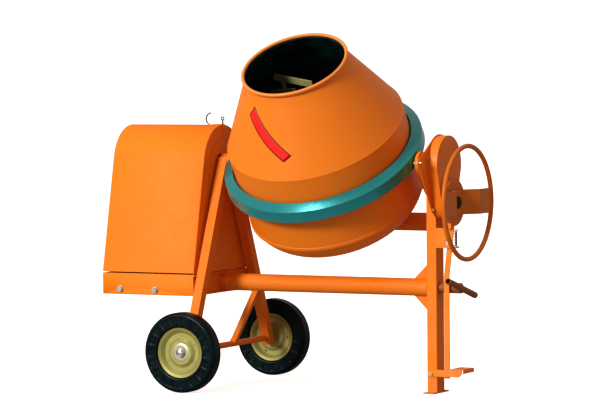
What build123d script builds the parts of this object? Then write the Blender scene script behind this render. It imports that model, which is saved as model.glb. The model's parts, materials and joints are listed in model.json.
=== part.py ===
from build123d import *
import os
from math import asin, atan2, cos, degrees, hypot, pi, radians, sin, sqrt, tan

# Tilting-drum site mixer, millimetres.  +X runs along the main beam from the motor end to
# the handwheel, -Y is the discharge side, +Z is up and z = 0 is the ground.  Everything is
# drawn from a datum on the beam's middle plane; save() then moves it along X, so that the
# stored origin is the middle of the foot plate's underside.

# ---- running and assembly clearances
running = 0.05          # radial, shaft in bush
seat = 0.3              # between neighbouring pieces that do not touch
side_gap = 4.0          # swinging arm to fixed frame

# ---- frame
beam_radius = 38.05
beam_wall = 4.0
beam_z = 455.0
beam_start = 30.0       # beam's motor end, from the trestle's middle
trestle_clear = 2.5     # yoke arm to trestle tube
trestle_tube = 42.0
tube_wall = 3.0
axle_z = 175.0
axle_radius = 13.5
track_half = 420.0      # wheel centre planes at y = +-track_half
leg_foot_y = 361.0      # trestle legs meet the axle here
leg_top_y = 24.5
leg_top_z = 1003.0
leg_width = 45.0
leg_depth = 75.0
leg_wall = 4.0
foot_length = 154.0
foot_width = 50.0
foot_thick = 6.0
bolt_radius = 5.0
bolt_head = 9.0         # corner radius of its hexagon
bolt_grip = 22.0
gusset_reach = 75.0
gusset_thick = 6.0
brace_tube = 25.0
brace_reach = 142.0     # along the beam
axle_stub = 32.0        # beyond the wheel centre planes
bearer_reach = 262.0

# ---- tilt axis, drum and yoke
tilt_z = 989.0
drum_x = 59.5
drum_tilt = 33.8        # degrees from upright, towards -Y
drum_radius = 395.5
drum_wall = 3.0
band_top = 188.0        # heights along the drum's own axis, from the tilt axis
band_bottom = -180.0
cone_top = 508.0
mouth_radius = 226.0
rim_radius = 236.0
rim_height = 22.0
rim_wall = 6.0
bowl_mid = (349.0, -255.0)
bowl_flat = (244.0, -306.0)
spindle_radius = 22.0
blade_thick = 6.0
blade_offset = 131.0    # plane of a mixing blade, from the drum's axis
blade_turn = -15.4
blade_foot = -165.0
blade_tip = -71.0
arm_top = 333.0         # upper arm of a blade
arm_depth = 33.0
guard_clear = 10.0      # round the toothed ring
guard_wall = 2.0
guard_low = -4.0
guard_high = 49.0
guard_lip = 80.0
lip_clear = 6.5         # guard lip round the drum
arm_gap = 6.0           # guard to yoke arm
arm_thick = 15.0
arm_width = 80.0
arm_eye = 52.0          # round end of an arm, about the tilt axis
cross_s = -352.0        # yoke cross tube, along and behind the drum's axis
cross_u = 50.0
cross_height = 40.0
cross_width = 80.0
trunnion_radius = 25.0
trunnion_collar = 29.5
left_trunnion_radius = 30.0
shaft_radius = 15.0     # pinion shaft and handwheel shaft

# ---- ring gear drive
ring_teeth = 112
pinion_teeth = 11
ring_fit = 0.5          # toothed ring round the drum
ring_pitch_height = 22.5
ring_depth = 42.5
tooth_add = 5.0
tooth_ded = 8.0
pinion_width = 30.0

# ---- tilt gears
tilt_module = 6.0
tilt_teeth = 36
tilt_pinion_teeth = 19
tilt_gear_width = 30.0

# ---- hood, tray, motor and belt
hood_length = 464.0
hood_stand_off = 36.0   # bulkhead to the trestle's middle
hood_front = -254.0
hood_rear = 245.0
hood_arc_y = 24.5
hood_arc_z = 978.0
hood_arc_radius = 175.0
hood_sheet = 2.0
hood_bottom = 506.0
tray_top = 500.5
tray_bottom = 406.0
tray_sheet = 3.0
tray_bolt_radius = 8.0
tray_bolt_head = 13.0
tray_washer = 15.0
tray_bolt_in = (90.0, 268.0)
tray_bolt_z = 430.0
washer_thick = 2.0
pulley_radius = 125.0
motor_pulley_radius = 36.0
belt_width = 13.0
belt_thick = 9.0
belt_in = 53.0          # belt's centre plane, from the bulkhead
box_in = 171.0          # switch box's middle, from the bulkhead
motor_z = 610.0
motor_radius = 75.0
motor_length = 230.0

# ---- handwheel, brake and pedal
rim_out = 60.9          # handwheel rim beyond the brake disc
wheel_rim_radius = 243.0
wheel_rim_tube = 10.5
strap_height = 108.0
strap_thick = 6.0
cover_radius = 123.0
cover_pinion_radius = 72.0
cover_depth = 44.0
cover_sheet = 2.5
dish_radius = 84.0
drain_spot = 75.0       # drain holes in the inner disc
drain_radius = 4.0
plate_thick = 3.0
disc_radius = 101.5
disc_thick = 10.0
disc_out = 16.5         # brake disc beyond the gear cover
shoe_gap = 0.5
rod_y = -34.5
rod_thick = 6.0
rod_width = 24.0
rod_out = 48.0          # beyond the leg
rod_foot_z = 66.0
rod_bend_z = 505.0
rod_head_z = 716.0
pivot_in = 21.0
pivot_z = 86.0
pedal_reach = 130.0
spring_out = 20.0
spring_low = 636.3
spring_high = 704.7

# ---- towing bar
drawbar_radius = 23.0
drawbar_out = 102.0
drawbar_length = 859.0
tee_length = 286.0
tee_radius = 14.0
tee_tilt = 16.0

# ---- road wheels
tyre_radius = 175.0
tyre_width = 70.0
rim_seat_radius = 100.0
hub_inner = -30.0        # wheel hub's ends, from the wheel's centre plane
hub_outer = 22.0
washer_gap = 1.5

# ---- places that follow from the sizes above
ring_inner = drum_radius + ring_fit
ring_pitch_radius = drum_radius + ring_pitch_height
ring_outer = drum_radius + ring_depth
guard_radius = ring_outer + guard_clear
guard_lip_radius = drum_radius + lip_clear
arm_outer = guard_radius + arm_gap + arm_thick
trestle_x = drum_x - arm_outer - trestle_clear - trestle_tube / 2
beam_left = trestle_x + beam_start
brace_beam_x = trestle_x + brace_reach
hood_right = trestle_x - hood_stand_off
hood_left = hood_right - hood_length
belt_x = hood_right - belt_in
leg_x = drum_x + arm_outer + trunnion_collar + side_gap     # inner face of the handwheel leg
hand_z = tilt_z - tilt_module * (tilt_teeth + tilt_pinion_teeth) / 2
leg_right = leg_x + leg_width
foot_toe = 2.0          # foot plate stands this far out of the leg's outer face
foot_centre_x = leg_right + foot_toe - foot_width / 2
cover_face_x = leg_right + plate_thick + cover_depth
disc_x = cover_face_x + disc_out
wheel_rim_x = disc_x + disc_thick + rim_out
rod_low = (leg_right + rod_out, rod_foot_z)
rod_bend = (leg_right + rod_out, rod_bend_z)
rod_top = (disc_x + disc_thick - 0.5, rod_head_z)
pedal_pivot = (leg_x + pivot_in, pivot_z)
pedal_end_x = leg_right + pedal_reach
spring_x = rod_top[0] + spring_out
drawbar_end = leg_right + drawbar_out
drawbar_inside = drawbar_end - drawbar_length
drum_frame = Location((drum_x, 0, tilt_z), (drum_tilt, 0, 0))

os.makedirs("parts", exist_ok=True)


def save(name, shape):
    solids = [Pos(-foot_centre_x, 0, 0) * solid for solid in shape.solids()]
    export_step(solids[0] if len(solids) == 1 else Compound(solids), f"parts/{name}.step")


def block(x0, x1, y0, y1, z0, z1):
    centre = Pos((x0 + x1) / 2, (y0 + y1) / 2, (z0 + z1) / 2)
    return centre * Box(x1 - x0, y1 - y0, z1 - z0)


def rod_along_x(radius, x0, x1, y=0.0, z=0.0):
    low = (Align.CENTER, Align.CENTER, Align.MIN)
    return Pos(x0, y, z) * Rot(0, 90, 0) * Cylinder(radius, x1 - x0, align=low)


def rod_along_y(radius, y0, y1, x=0.0, z=0.0):
    low = (Align.CENTER, Align.CENTER, Align.MIN)
    return Pos(x, y0, z) * Rot(-90, 0, 0) * Cylinder(radius, y1 - y0, align=low)


def tube_along_x(outer, inner, x0, x1, y=0.0, z=0.0):
    return rod_along_x(outer, x0, x1, y, z) - rod_along_x(inner, x0 - 1, x1 + 1, y, z)


def plate_x(sketch, x0, x1):
    # A sketch drawn in (Y, Z), made into a plate between two X planes.
    return extrude(Plane.YZ.offset(x0) * sketch, amount=x1 - x0, dir=(1, 0, 0))


def plate_y(sketch, y0, y1):
    # A sketch drawn in (X, Z), made into a plate between two Y planes.
    return extrude(Plane.XZ.offset(-y1) * sketch, amount=y1 - y0, dir=(0, -1, 0))


def spun(*points):
    # A closed outline in (radius, height), turned about Z.
    return revolve(Plane.XZ * Polygon(*points, align=None), Axis.Z)


def member(start, end, across_x, across, wall=0.0):
    # A straight rectangular bar or tube from start to end; one side lies along X or Y.
    run = Vector(*end) - Vector(*start)
    side = Vector(1, 0, 0) if abs(run.X) < 1e-6 else Vector(0, 1, 0)
    base = Plane(origin=start, x_dir=side, z_dir=run)
    section = Rectangle(across_x, across)
    if wall:
        section -= Rectangle(across_x - 2 * wall, across - 2 * wall)
    return extrude(base * section, amount=run.length)


def discs_hull(*discs):
    # Straight-sided outline round several discs (y, z, radius).
    edges = [e for y, z, r in discs for e in (Pos(y, z) * Circle(r)).edges()]
    return make_hull(edges)


def hex_bolt(radius, length, head, washer=0.0):
    # Shank up +Z from the seat, a washer if it has one and a hexagon head below it.
    low = (Align.CENTER, Align.CENTER, Align.MIN)
    bolt = Cylinder(radius, length, align=low)
    drop = 0.0
    if washer:
        drop = washer_thick
        bolt += Pos(0, 0, -drop) * Cylinder(washer, drop, align=low)
    return bolt + Pos(0, 0, -drop) * extrude(RegularPolygon(head, 6), amount=-radius * 1.2)


# ------------------------------------------------------------------ main frame
def leg_line(side, z):
    # Y of a trestle leg's centre line at height z.
    slope = (leg_foot_y - leg_top_y) / (leg_top_z - axle_z)
    return side * (leg_top_y + slope * (leg_top_z - z))


head_radius = left_trunnion_radius + 8.0
bearing_bore = left_trunnion_radius + running


def trestle_leg(side):
    foot = (trestle_x, leg_line(side, axle_z - 24), axle_z - 24)
    top = (trestle_x, leg_line(side, leg_top_z), leg_top_z)
    leg = member(foot, top, trestle_tube, trestle_tube, tube_wall)
    leg -= rod_along_x(head_radius, trestle_x - trestle_tube, trestle_x + trestle_tube, 0, tilt_z)
    leg -= rod_along_y(axle_radius + running, -track_half, track_half, trestle_x, axle_z)
    foot_edge = side * (track_half + hub_inner - washer_gap)
    leg -= block(trestle_x - trestle_tube, trestle_x + trestle_tube, *sorted((foot_edge, side * 2 * track_half)),
                 0, 2 * axle_z)
    return leg


half = trestle_tube / 2
save("trestle_front_leg", trestle_leg(-1))
save("trestle_rear_leg", trestle_leg(1))
head = tube_along_x(head_radius, bearing_bore, trestle_x - half, trestle_x + half, 0, tilt_z)
tie_z = tilt_z - 120
tie_half = abs(leg_line(1, tie_z)) - half * 1.25
web = block(trestle_x - 4, trestle_x + 4, -tie_half, tie_half, tie_z, tilt_z - head_radius + 3)
for side in (-1, 1):
    below, above = tie_z - 100, tilt_z + 100
    web -= member((trestle_x, leg_line(side, below), below), (trestle_x, leg_line(side, above), above),
                  1.5 * trestle_tube, trestle_tube)
save("trestle_head", head + (web - rod_along_x(head_radius - 1, trestle_x - half, trestle_x + half, 0, tilt_z)))

axle = rod_along_y(axle_radius, -track_half - axle_stub, track_half + axle_stub, trestle_x, axle_z)
save("axle", axle)

beam = tube_along_x(beam_radius, beam_radius - beam_wall, beam_left, leg_x, 0, beam_z)
save("main_beam", beam)
spigot_radius = beam_radius - beam_wall - running
bearer_left = hood_right
bearer_right = trestle_x - half
save("beam_spigot", tube_along_x(spigot_radius, spigot_radius - 5, hood_right, beam_left + 90, 0, beam_z))
bearer_half = 42.0
bearer = block(bearer_left, bearer_right, -bearer_reach, bearer_reach, beam_z - bearer_half, beam_z + bearer_half)
bearer -= block(bearer_left + tube_wall, bearer_right + 1, -bearer_reach - 1, bearer_reach + 1,
                beam_z - bearer_half + tube_wall, beam_z + bearer_half - tube_wall)
bearer -= rod_along_x(spigot_radius + running, bearer_left - 1, bearer_right + 1, 0, beam_z)
save("tray_bearer", bearer)

brace_top = (brace_beam_x, 0, beam_z - beam_radius + 8)
brace_foot_y = 33.0
brace = member((trestle_x, brace_foot_y, axle_z), brace_top, brace_tube, brace_tube, 2.5)
brace -= rod_along_y(axle_radius, -brace_foot_y - brace_tube, brace_foot_y + brace_tube, trestle_x, axle_z)
brace -= rod_along_x(beam_radius, trestle_x, brace_beam_x + 2 * brace_tube, 0, beam_z)
save("axle_brace", brace)

leg_top = tilt_z + 42
leg = block(leg_x, leg_right, -leg_depth / 2, leg_depth / 2, foot_thick, leg_top)
leg -= block(leg_x + leg_wall, leg_right - leg_wall, leg_wall - leg_depth / 2, leg_depth / 2 - leg_wall,
             foot_thick - 1, leg_top - leg_wall)
bush_radius = trunnion_radius + 8
hand_bush_radius = shaft_radius + 7
leg -= rod_along_x(bush_radius, leg_x - 1, leg_right + 1, 0, tilt_z)
leg -= rod_along_x(hand_bush_radius, leg_x - 1, leg_right + 1, 0, hand_z)
leg -= rod_along_x(drawbar_radius + running, leg_x - 1, leg_right + 1, 0, beam_z)
leg -= rod_along_y(bolt_radius + running, -leg_depth / 2 - 1, 0, *pedal_pivot)
save("handwheel_leg", leg)
save("foot_plate", block(leg_right + foot_toe - foot_width, leg_right + foot_toe,
                         -foot_length / 2, foot_length / 2, 0, foot_thick))
gussets = []
for up in (1, -1):
    edge = beam_z + up * (beam_radius - 8)
    corner = beam_z + up * (beam_radius + gusset_reach)
    flat = Polygon((leg_x, corner), (leg_x - gusset_reach, beam_z + up * beam_radius),
                   (leg_x - gusset_reach, edge), (leg_x, edge), align=None)
    gussets.append(plate_y(flat, -gusset_thick / 2, gusset_thick / 2)
                   - rod_along_x(beam_radius, leg_x - gusset_reach - 1, leg_x + 1, 0, beam_z))
save("beam_gussets", Compound(children=[g.solid() for g in gussets]))

trunnion_bush = tube_along_x(bush_radius, trunnion_radius + running, leg_x, leg_right, 0, tilt_z)
hand_bush = tube_along_x(hand_bush_radius, shaft_radius + running, leg_x, leg_right, 0, hand_z)
save("leg_bushes", Compound(children=[trunnion_bush.solid(), hand_bush.solid()]))

# ------------------------------------------------------------------ gear case on the leg
plate_x0 = leg_right
plate_x1 = leg_right + plate_thick
tab_radius = 10.0
tab_reach = 9.0
screw_radius = 4.0
tip_spot = (-205.0, tilt_z + 12)
tab_spots = []
for z, radius, angle in ((tilt_z, cover_radius, 168), (tilt_z, cover_radius, -10),
                         (hand_z, cover_pinion_radius, 200), (hand_z, cover_pinion_radius, -20)):
    far = radius + tab_reach
    tab_spots.append((far * cos(radians(angle)), z + far * sin(radians(angle))))
ears = [(y, z, tab_radius) for y, z in tab_spots]
outline = discs_hull((0, tilt_z, cover_radius + 5), (0, hand_z, cover_pinion_radius + 5), (*tip_spot, 11), *ears)
back = plate_x(outline, plate_x0, plate_x1)
back -= rod_along_x(bush_radius + 1, plate_x0 - 1, plate_x1 + 1, 0, tilt_z)
back -= rod_along_x(hand_bush_radius + 1, plate_x0 - 1, plate_x1 + 1, 0, hand_z)
back -= rod_along_x(bolt_radius + running, plate_x0 - 1, plate_x1 + 1, *tip_spot)
save("gear_back_plate", back)


def cover_outline(inset):
    return discs_hull((0, tilt_z, cover_radius - inset), (0, hand_z, cover_pinion_radius - inset))


case = plate_x(cover_outline(0), plate_x1, cover_face_x)
for y, z in tab_spots:
    reach = discs_hull((y, z, tab_radius), (y * 0.85, z, tab_radius))
    case += plate_x(reach, plate_x1, plate_x1 + plate_thick)
case -= plate_x(cover_outline(cover_sheet), plate_x1, cover_face_x - cover_sheet)
case -= rod_along_x(shaft_radius + 1.5, plate_x1, cover_face_x + 1, 0, hand_z)
for y, z in tab_spots:
    case -= rod_along_x(screw_radius + running, plate_x0, cover_face_x - 4, y, z)
save("gear_cover", case)

# ------------------------------------------------------------------ tray, hood and drive
tray = block(hood_left, hood_right, hood_front, hood_rear, tray_bottom, tray_top)
tray -= block(hood_left + tray_sheet, hood_right - tray_sheet, hood_front + tray_sheet, hood_rear - tray_sheet,
              tray_bottom + tray_sheet, tray_top + 1)
tray_bolt_x = [hood_left + reach for reach in tray_bolt_in]
for x in tray_bolt_x:
    tray -= rod_along_y(tray_bolt_radius + running, hood_front - 1, hood_front + 5, x, tray_bolt_z)
save("motor_tray", tray)


def tangent_spot(y, inset, turn):
    # Where the straight side from (y, hood_bottom) meets the hood's arc.
    dy = hood_arc_y - y
    dz = hood_arc_z - hood_bottom
    reach = hypot(dy, dz)
    radius = hood_arc_radius - inset
    way = atan2(dz, dy) + turn * asin(radius / reach)
    run = sqrt(reach ** 2 - radius ** 2)
    return (y + run * cos(way), hood_bottom + run * sin(way))


def hood_outline(inset, bottom):
    front = hood_front + inset
    rear = hood_rear - inset
    front_top = tangent_spot(front, inset, 1)
    rear_top = tangent_spot(rear, inset, -1)
    crown = (hood_arc_y, hood_arc_z + hood_arc_radius - inset)
    edges = [Line((front, bottom), (front, hood_bottom)), Line((front, hood_bottom), front_top),
             ThreePointArc(front_top, crown, rear_top),
             Line(rear_top, (rear, hood_bottom)), Line((rear, hood_bottom), (rear, bottom)),
             Line((rear, bottom), (front, bottom))]
    return make_face(edges)


hood_end = hood_right - tray_sheet - 1.0
hood_top = hood_arc_z + hood_arc_radius
hood = plate_x(hood_outline(0, hood_bottom - 0.01), hood_left, hood_end)
hood -= plate_x(hood_outline(hood_sheet, hood_bottom - 5), hood_left + hood_sheet, hood_end + 1)
tab_x1 = hood_right + 4
tab = block(hood_end - 40, tab_x1, hood_arc_y - 13, hood_arc_y + 13, hood_top + seat, hood_top + seat + 3)
tab += block(hood_end - 40, hood_end - 2, hood_arc_y - 13, hood_arc_y + 13, hood_top - 1, hood_top + seat)
tab -= block(tab_x1 - 12, tab_x1 + 1, hood_arc_y - 5.5, hood_arc_y + 5.5, hood_top - 5, hood_top + 9)
hook_base = (hood_end - 55, hood_top - 1)
hook_path = ThreePointArc(hook_base, (hook_base[0] - 25, hook_base[1] + 26), (hook_base[0] - 2, hook_base[1] + 53))
hook_line = Plane.XZ.offset(-hood_arc_y) * hook_path
hook = sweep(Plane(origin=hook_line @ 0, z_dir=hook_line % 0) * Circle(3), path=hook_line)
hinge_y = ((-150, -110), (110, 150))
hinge_radius = 5.0
hinge_z = hood_bottom - 3.0
hood += tab
hood += hook
for y0, y1 in hinge_y:
    middle = (y0 + y1) / 2
    eye = rod_along_y(8, middle - 9, middle + 9, hood_left - 8.5, hinge_z)
    eye += block(hood_left - 8.5, hood_left + 1, middle - 9, middle + 9, hinge_z + 4, hinge_z + 22)
    eye -= rod_along_y(hinge_radius + running, y0, y1, hood_left - 8.5, hinge_z)
    hood += eye
save("hood", hood)
hinges = []
for y0, y1 in hinge_y:
    middle = (y0 + y1) / 2
    pin = rod_along_y(hinge_radius, y0, y1, hood_left - 8.5, hinge_z)
    for a, b in ((y0, middle - 9.5), (middle + 9.5, y1)):
        pin += rod_along_y(8, a, b, hood_left - 8.5, hinge_z)
        pin += block(hood_left - 8.5, hood_left, a, b, hinge_z - 26, hinge_z)
    hinges.append(pin.solid())
save("hood_hinges", Compound(children=hinges))

wall_x0 = hood_right - tray_sheet
bulkhead_z0 = tray_top + 2.5
panel_inset = 60.0
port = left_trunnion_radius + 6
bulkhead = plate_x(hood_outline(0, bulkhead_z0), wall_x0, hood_right)
panel = plate_x(hood_outline(panel_inset, hood_bottom - 1), hood_right, hood_right + 2.5)
bulkhead += panel - block(hood_right, hood_right + 5, hood_front, hood_rear, 0, hood_bottom + panel_inset)
for y in (-100, 100):
    bulkhead += block(wall_x0 - 3, wall_x0, y - 20, y + 20, tray_top - 40, bulkhead_z0 + 20)
bulkhead -= rod_along_x(port, wall_x0 - 1, hood_right + 4, 0, tilt_z)
save("bulkhead", bulkhead)
eye_x = hood_right - 0.5
latch = block(hood_right, hood_right + 4, hood_arc_y - 5, hood_arc_y + 5, hood_top - 44, hood_top - 1)
latch += Pos(eye_x, hood_arc_y, hood_top - 6 + 13.5) * Cylinder(3.5, 27)
latch += block(eye_x, hood_right + 4, hood_arc_y - 3.5, hood_arc_y + 3.5, hood_top - 6, hood_top - 1)
latch += Pos(eye_x, hood_arc_y, hood_top + 28) * Rot(90, 0, 0) * Torus(6.5, 2.5)
latch -= plate_x(hood_outline(-0.2, bulkhead_z0), wall_x0 - 10, hood_right)
save("latch_eye", latch)

groove = 7.0
hub_length = 20.0


def pulley(radius, hub, bore, x):
    half_width = belt_width / 2 + 4
    outline_points = [(bore, -half_width), (radius, -half_width), (radius, -belt_width / 2 - 1),
                      (radius - groove - 5, -belt_width / 2 + 2), (radius - groove - 5, belt_width / 2 - 2),
                      (radius, belt_width / 2 + 1), (radius, half_width), (bore, half_width)]
    wheel = spun(*outline_points)
    if radius > 3 * hub:
        dish = spun((hub, -half_width - 1), (radius - 26, -half_width - 1), (radius - 26, -4), (hub, -4))
        wheel -= dish
        wheel -= mirror(dish, Plane.XY)
        for i in range(4):
            wheel -= Rot(0, 0, 45 + 90 * i) * Pos((hub + radius - 26) / 2, 0, 0) * Cylinder(18, 30)
    wheel += spun((bore, -hub_length / 2), (hub, -hub_length / 2), (hub, hub_length / 2), (bore, hub_length / 2))
    return Pos(x, 0, 0) * Rot(0, 90, 0) * wheel


save("large_pulley", Pos(0, 0, tilt_z) * pulley(pulley_radius, 30, shaft_radius + running, belt_x))
motor_shaft_radius = 12.0
rotor = Pos(0, 0, motor_z) * pulley(motor_pulley_radius, 20, motor_shaft_radius - 1, belt_x)
motor_x1 = belt_x - 28.0
motor_x0 = motor_x1 - motor_length
rotor += rod_along_x(motor_shaft_radius, motor_x1 - 20, belt_x + 12, 0, motor_z)
save("motor_pulley", rotor)
motor = rod_along_x(motor_radius, motor_x0, motor_x1, 0, motor_z)
for i in range(24):
    fin = block(motor_x0 + 40, motor_x1 - 20, -1.5, 1.5, motor_radius - 2, motor_radius + 8)
    motor += Pos(0, 0, motor_z) * Rot(15 * i, 0, 0) * fin
foot_z = tray_bottom + tray_sheet
motor += block(motor_x0 + 60, motor_x1 - 30, -60, 60, foot_z + 40, motor_z - 40)
for x in (motor_x0 + 75, motor_x1 - 45):
    motor += block(x - 15, x + 15, -90, 90, foot_z, foot_z + 40.5)
motor += block(motor_x0 + 60, motor_x1 - 60, 50, 105, motor_z - 35, motor_z + 35)
motor -= rod_along_x(motor_shaft_radius + 1, motor_x1 - 21, motor_x1 + 1, 0, motor_z)
save("motor", motor)

belt_inner = discs_hull((0, tilt_z, pulley_radius - groove), (0, motor_z, motor_pulley_radius - groove))
belt_outer = discs_hull((0, tilt_z, pulley_radius - groove + belt_thick),
                        (0, motor_z, motor_pulley_radius - groove + belt_thick))
belt_half = 5.4         # the belt is this far off its centre plane where it sits in a groove
belt = plate_x(belt_outer, belt_x - belt_half, belt_x + belt_half)
belt -= plate_x(belt_inner, belt_x - belt_width, belt_x + belt_width)
save("drive_belt", belt)

# switch box with a rotary knob and a socket inlet, on the tray's rear wall
box_x = hood_right - box_in
box_z = 455.0
box_front = hood_rear
box_back = hood_rear + 55.0
knob_radius = 16.0
knob_z = box_z + 8
inlet_radius = 21.0
inlet_y = hood_rear + 28.0
inlet_low = box_z - 38 - 24
switch = block(box_x - 45, box_x + 45, box_front, box_back, box_z - 38, box_z + 38)
switch += Pos(box_x, inlet_y, inlet_low + 12.5) * Cylinder(inlet_radius, 25)
switch -= Pos(box_x, inlet_y, inlet_low + 9) * Cylinder(inlet_radius - 3.5, 20)
switch -= rod_along_y(4 + running, box_back - 12, box_back + 1, box_x, knob_z)
save("switch_box", switch)
knob = rod_along_y(knob_radius, box_back + seat, box_back + 8, box_x, knob_z)
knob += block(box_x - 4, box_x + 4, box_back + 7, box_back + 20, knob_z - knob_radius, knob_z + knob_radius)
knob += rod_along_y(4, box_back - 10, box_back + 1, box_x, knob_z)
save("switch_knob", knob)

# ------------------------------------------------------------------ yoke (drawn upright, then tilted)
def tilted(shape):
    return drum_frame * shape


left_arm_x = -(guard_radius + arm_gap)
right_arm_x = guard_radius + arm_gap


def yoke_arm(x0, bore):
    upper = Circle(arm_eye)
    lower = Pos(cross_u, cross_s) * Rectangle(arm_width, cross_height)
    edges = list(upper.edges()) + list(lower.edges())
    arm = plate_x(make_hull(edges), x0, x0 + arm_thick)
    return arm - rod_along_x(bore, x0 - 1, x0 + arm_thick + 1)


clip_spots = [(-34.0, 26.0), (34.0, 26.0)]
clip_bolt = 4.0


def clip_holes(shape, x0, x1):
    for u, s in clip_spots:
        shape -= rod_along_x(clip_bolt + running, x0, x1, u, s)
    return shape


left_arm = yoke_arm(left_arm_x - arm_thick, left_trunnion_radius + running)
right_arm = yoke_arm(right_arm_x, trunnion_radius + running)
left_arm = clip_holes(left_arm, left_arm_x - arm_thick - 1, left_arm_x + 1)
right_arm = clip_holes(right_arm, right_arm_x - 1, right_arm_x + arm_thick + 1)
save("yoke_arms", tilted(Compound(children=[left_arm.solid(), right_arm.solid()])))
cross = block(left_arm_x, right_arm_x, cross_u - cross_width / 2, cross_u + cross_width / 2,
              cross_s - cross_height / 2, cross_s + cross_height / 2)
hub_radius = 38.0
hub_top = -318.0
hub_bottom = -408.0
inner = block(left_arm_x + 2, right_arm_x - 2, cross_u - cross_width / 2 + 4, cross_u + cross_width / 2 - 4,
              cross_s - cross_height / 2 + 4, cross_s + cross_height / 2 - 4)
hub_well = Pos(0, 0, (hub_top + hub_bottom) / 2) * Cylinder(hub_radius, hub_top - hub_bottom)
web_pair = block(-hub_radius - 8, hub_radius + 8, cross_u - cross_width / 2, cross_u + cross_width / 2,
                 cross_s - cross_height / 2, cross_s + cross_height / 2)
save("yoke_cross_tube", tilted((cross - inner + web_pair) - hub_well))
housing = spun((spindle_radius + running, hub_bottom), (hub_radius, hub_bottom), (hub_radius, hub_top),
               (spindle_radius + running, hub_top))
save("spindle_housing", tilted(housing))

frame_left = hood_right - drum_x - 14
left_trunnion = tube_along_x(left_trunnion_radius, shaft_radius + running, frame_left, left_arm_x)
save("left_trunnion", tilted(left_trunnion))
gear_x0 = plate_x1 + 5.0
gear_x1 = gear_x0 + tilt_gear_width
right_trunnion = rod_along_x(trunnion_radius, right_arm_x, gear_x1 + 2 - drum_x)
right_trunnion += rod_along_x(trunnion_radius + 8, arm_outer, arm_outer + trunnion_collar)
save("right_trunnion", tilted(right_trunnion))

guard = spun((guard_radius - guard_wall, guard_low), (guard_radius, guard_low), (guard_radius, guard_high),
             (guard_lip_radius, guard_lip), (guard_lip_radius, guard_lip - guard_wall * 1.3),
             (guard_radius - guard_wall, guard_high - guard_wall * 1.1))
guard -= rod_along_x(shaft_radius + 4, -guard_radius - 2, -guard_radius + 10)
save("ring_guard", tilted(clip_holes(guard, -guard_radius - 1, guard_radius + 1)))
clips = []
spacer_radius = 9.0
head_radius_clip = 7.0
for way in (-1, 1):
    for u, s in clip_spots:
        wall_x = sqrt(guard_radius ** 2 - (abs(u) - spacer_radius) ** 2) + running
        outer_x = right_arm_x + arm_thick
        x0, x1 = sorted((way * wall_x, way * right_arm_x))
        spacer = tube_along_x(spacer_radius, clip_bolt + running, x0, x1, u, s)
        x0, x1 = sorted((way * (guard_radius - 8), way * (outer_x if way < 0 else outer_x + 6)))
        bolt = rod_along_x(clip_bolt, x0, x1, u, s)
        if way > 0:
            bolt += rod_along_x(head_radius_clip, outer_x, outer_x + 3.5, u, s)
        clips += [spacer.solid(), bolt.solid()]
save("guard_clips", tilted(Compound(children=clips)))

# ------------------------------------------------------------------ toothed wheels


def involute_gear(teeth, module, bore, x0, x1, turn=0.0, backlash=0.5):
    # Spur gear about X with a tooth pointing up (+Z) when turn is 0.
    pitch = module * teeth / 2
    base = pitch * cos(radians(20))
    tip = pitch + module * 0.95
    root = pitch - module * 1.25
    half_tooth = (pi * module / 2 - backlash) / 2 / pitch
    lean = tan(radians(20)) - radians(20)

    def flank(radius):
        if radius <= base:
            return half_tooth + lean
        roll = sqrt((radius / base) ** 2 - 1)
        return half_tooth + lean - (roll - atan2(roll, 1))

    levels = [root] + [max(base, root) + (tip - max(base, root)) * i / 4 for i in range(5)]
    points = []
    for i in range(teeth):
        middle = radians(90 + turn) + 2 * pi * i / teeth
        sides = [(r, middle - flank(r)) for r in levels]
        sides += [(r, middle + flank(r)) for r in reversed(levels)]
        points += [(r * cos(a), r * sin(a)) for r, a in sides]
    wheel = plate_x(Polygon(*points, align=None), x0, x1)
    return wheel - rod_along_x(bore, x0 - 1, x1 + 1)


tilt_gear = involute_gear(tilt_teeth, tilt_module, trunnion_radius + running, gear_x0, gear_x1, turn=180)
save("tilt_gear", Pos(0, 0, tilt_z) * tilt_gear)
half_pitch = 180 / tilt_pinion_teeth
tilt_pinion = involute_gear(tilt_pinion_teeth, tilt_module, shaft_radius + running, gear_x0, gear_x1, turn=half_pitch)
save("tilt_pinion", Pos(0, 0, hand_z) * tilt_pinion)

pinion_pitch = ring_pitch_radius * pinion_teeth / ring_teeth
ring_low = pinion_pitch - tooth_add
ring_root = pinion_pitch + tooth_ded
ring_top = ring_root + 9.0
ring = spun((ring_inner, ring_low), (ring_outer, ring_low), (ring_outer, ring_root + 0.5),
            (ring_outer - 14, ring_top), (ring_inner, ring_top))
arc_pitch = 2 * pi * ring_pitch_radius / ring_teeth
gap_mouth = arc_pitch - 5.5
gap_root = 9.5
gap_face = Polygon((-gap_mouth / 2, ring_low - 0.5), (gap_mouth / 2, ring_low - 0.5), (gap_root / 2, ring_root),
                   (-gap_root / 2, ring_root), align=None)
gap = plate_x(gap_face, ring_inner + 4, ring_outer + 2)
gaps = [Rot(0, 0, 180 + 360 * i / ring_teeth) * gap for i in range(ring_teeth)]
save("ring_gear", tilted(ring - gaps))

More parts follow.
